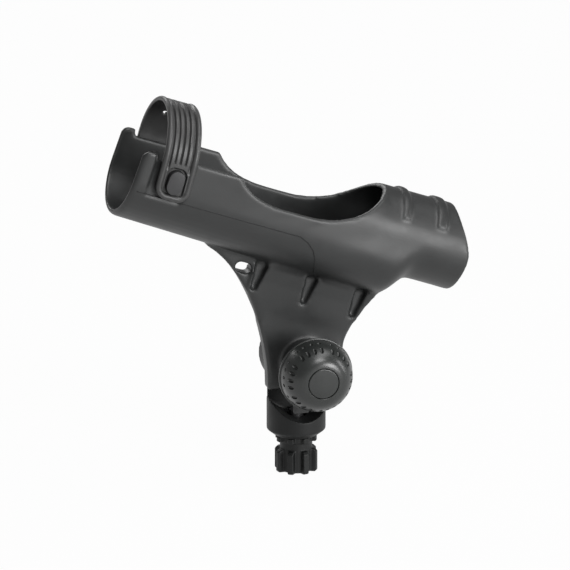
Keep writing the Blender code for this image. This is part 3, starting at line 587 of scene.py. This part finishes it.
def face_height(u, w):
    """Height of the strap's outer face over its inner one."""
    edge = edge_distance(u, w)
    crown = STRAP_THICKNESS - RIM_CROWN * ((edge - RIM_WIDTH / 2) / (RIM_WIDTH / 2)) ** 2
    if edge < RIM_WIDTH:
        return crown
    band = BAND_HEIGHT
    if u > PANEL_MIDDLE:
        start = PANEL_MIDDLE + PANEL_HALF_LENGTH
        band -= eased(u, start - 4.0, start + 2.0) * hollow(
            edge - CHANNEL_MIDDLE, CHANNEL_HALF_WIDTH, CHANNEL_DEPTH
        )
    for middle in GROOVE_PLACES:
        away = math.hypot(min(u - GROOVE_START, 0.0), w - middle)
        band -= hollow(away, GROOVE_HALF_WIDTH, GROOVE_DEPTH)
    sunk = 1 - eased(panel_distance(u, w), -PANEL_SLOPE, 0.0)
    return min(band, BAND_HEIGHT - (BAND_HEIGHT - PANEL_HEIGHT) * sunk)


def strap_point(u, w, height, side):
    """World place of a point of the strap."""
    if u <= LEG_LENGTH:
        y, z = STRAP_INNER + height, STRAP_END + u
    else:
        turn = (u - LEG_LENGTH) / ARCH_LENGTH * math.pi / 2
        radius = STRAP_INNER + height
        y, z = radius * math.cos(turn), STRAP_SHOULDER + radius * math.sin(turn)
    x = STRAP_MIDDLE + (STRAP_TOP - z) * STRAP_LEAN + w
    return CRADLE @ (Vector((x, side * y, z)) * MM)


ARCH_LENGTH = (STRAP_INNER + STRAP_THICKNESS / 2) * math.pi / 2
STRAP_ROWS = 140
STRAP_COLUMNS = 74


def strap_half(name, side):
    """Half of the strap, from its end to the top of the arch, pressed out of a grid."""
    bpy.ops.object.select_all(action="DESELECT")
    bpy.ops.mesh.primitive_grid_add(
        x_subdivisions=STRAP_ROWS, y_subdivisions=STRAP_COLUMNS, size=2.0
    )
    piece = bpy.context.object
    piece.name = name
    bpy.ops.object.mode_set(mode="EDIT")
    bpy.ops.mesh.select_all(action="SELECT")
    bpy.ops.mesh.extrude_region_move(TRANSFORM_OT_translate={"value": (0, 0, 1)})
    bpy.ops.object.mode_set(mode="OBJECT")
    length = LEG_LENGTH + ARCH_LENGTH
    for vertex in piece.data.vertices:
        x, y, upper = vertex.co
        u = (x + 1) / 2 * length
        w = y * strap_half_width(u)
        edge = max(edge_distance(u, w), 0.0)
        height = face_height(u, w) if upper > 0.5 else 0.5 * max(0.0, 1 - edge) ** 2
        vertex.co = strap_point(u, w, height, side)
    tidy(piece)
    return piece


def button_hole(side):
    """A cutter for the round-ended hole that the button stands in."""
    middle = STRAP_MIDDLE + (STRAP_TOP - BUTTON_HEIGHT) * STRAP_LEAN
    bpy.ops.object.select_all(action="DESELECT")
    bpy.ops.mesh.primitive_cylinder_add(
        vertices=64, radius=BUTTON_HOLE_WIDTH / 2 * MM, depth=20 * MM,
        rotation=(math.pi / 2, 0, 0),
    )
    cutter = bpy.context.object
    bpy.ops.object.transform_apply(rotation=True)
    stretch = (BUTTON_HOLE_LENGTH - BUTTON_HOLE_WIDTH) / 2
    for vertex in cutter.data.vertices:
        vertex.co.z += math.copysign(stretch * MM, vertex.co.z)
    centre = Vector((middle, side * STRAP_INNER, BUTTON_HEIGHT)) * MM
    cutter.data.transform(CRADLE @ Matrix.Translation(centre))
    tidy(cutter)
    return cutter


def peg_hole():
    """A cutter for the hole through the far side of the arch."""
    turn = math.asin((PEG_HOLE_HEIGHT - STRAP_SHOULDER) / (STRAP_INNER + STRAP_THICKNESS / 2))
    bpy.ops.object.select_all(action="DESELECT")
    bpy.ops.mesh.primitive_cylinder_add(vertices=40, radius=PEG_HOLE_RADIUS * MM, depth=16 * MM)
    cutter = bpy.context.object
    u = LEG_LENGTH + ARCH_LENGTH * turn / (math.pi / 2)
    across = Matrix.Rotation(REST_PITCH, 4, "Y") @ Matrix.Rotation(turn - math.pi / 2, 4, "X")
    cutter.data.transform(Matrix.Translation(strap_point(u, 0.0, 2.0, 1)) @ across)
    tidy(cutter)
    return cutter


far_strap = strap_half("strap_far", 1)
cut(far_strap, button_hole(1))
cut(far_strap, peg_hole())
tidy(far_strap, 50.0)
place(far_strap, rubber, "moulded_rubber", "strap_anchor")
near_strap = strap_half("strap_near", -1)
cut(near_strap, button_hole(-1))
tidy(near_strap, 50.0)
place(near_strap, rubber, "moulded_rubber", "strap_arch", "strap_tab")


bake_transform(far_strap)
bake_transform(near_strap)

for where in ("near", "far"):
    button = bevelled("strap_button_" + where, "button_" + where, 1.7, 6)
    place(button, acetal, "acetal", "strap_button_" + where, body="cradle")


# ---- CAD nodes that stay as they are ----

FINISHES = {
    "moulded_nylon": nylon,
    "gloss_plastic": abs_plastic,
    "moulded_rubber": rubber,
    "acetal": acetal,
    "stainless_steel": stainless,
    "sintered_steel": sintered,
}
for name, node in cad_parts.items():
    wanted = [m.name.split(".")[0] for m in node.data.materials if m]
    finish = FINISHES.get(wanted[0] if wanted else "", nylon)
    if name.startswith("post_"):
        finish = black_oxide
    if not node.material_slots:
        node.data.materials.append(finish)
    for part in node.material_slots:
        part.material = finish


# ---- Floor, light and camera ----


def stage_white(name):
    """Plain white that the camera sees nearly full, and that still takes a soft shadow."""
    material = bpy.data.materials.new(name)
    material.use_nodes = True
    tree = material.node_tree
    tree.nodes.clear()
    rays = add(tree, "ShaderNodeLightPath").outputs
    seen = add(
        tree, "ShaderNodeMath", {0: rays["Is Camera Ray"], 1: rays["Is Glossy Ray"]},
        operation="MAXIMUM",
    ).outputs[0]
    seen = add(
        tree, "ShaderNodeMath", {0: seen, 1: rays["Is Transmission Ray"]}, operation="MAXIMUM"
    ).outputs[0]
    share = add(tree, "ShaderNodeMath", {0: seen, 1: 0.97}, operation="MULTIPLY").outputs[0]
    paint = add(tree, "ShaderNodeBsdfDiffuse", {"Color": linear("b0b0b0")}).outputs[0]
    glow = add(tree, "ShaderNodeEmission", {"Color": (1, 1, 1, 1), "Strength": 1.0}).outputs[0]
    mixed = add(tree, "ShaderNodeMixShader", {0: share, 1: paint, 2: glow}).outputs[0]
    add(tree, "ShaderNodeOutputMaterial", {"Surface": mixed})
    return material


bpy.ops.object.select_all(action="DESELECT")
bpy.ops.mesh.primitive_plane_add(size=24.0, location=(0, 0, -0.0002))
floor = bpy.context.object
floor.name = "floor"
floor.data.materials.append(stage_white("floor_white"))

world = bpy.data.worlds.new("studio")
bpy.context.scene.world = world
world.use_nodes = True
sky = world.node_tree.nodes["Background"]
sky.inputs["Color"].default_value = (1, 1, 1, 1)
sky.inputs["Strength"].default_value = 0.26

LOOK_AT = Vector((0.0, 0.0, 0.14))


def softbox(name, location, width, height, watts):
    """A soft rectangular lamp aimed at the holder."""
    lamp = bpy.data.lights.new(name, "AREA")
    lamp.shape = "RECTANGLE"
    lamp.size = width
    lamp.size_y = height
    lamp.energy = watts
    piece = bpy.data.objects.new(name, lamp)
    piece.location = location
    piece.rotation_euler = (LOOK_AT - piece.location).to_track_quat("-Z", "Y").to_euler()
    bpy.context.scene.collection.objects.link(piece)


softbox("overhead", Vector((0.35, -0.25, 1.4)), 1.2, 0.6, 8.0)
softbox("key", Vector((0.8, -1.5, 0.4)), 0.6, 0.6, 20.0)
softbox("front_top", Vector((0.15, -1.1, 1.3)), 0.5, 0.5, 9.0)
softbox("side", Vector((1.6, -0.5, 0.6)), 0.4, 0.9, 8.0)
softbox("behind", Vector((-0.3, 1.4, 1.0)), 1.2, 0.4, 9.0)

camera = bpy.data.objects.new("camera", bpy.data.cameras.new("camera"))
camera.data.lens = 806.0
camera.data.sensor_width = 36.0
camera.location = (-2.2871, -8.4573, 2.9578)
camera.rotation_euler = (math.radians(72.17), 0.0, math.radians(-15.08))
bpy.context.scene.collection.objects.link(camera)
bpy.context.scene.camera = camera
bpy.context.scene.view_settings.view_transform = "Standard"
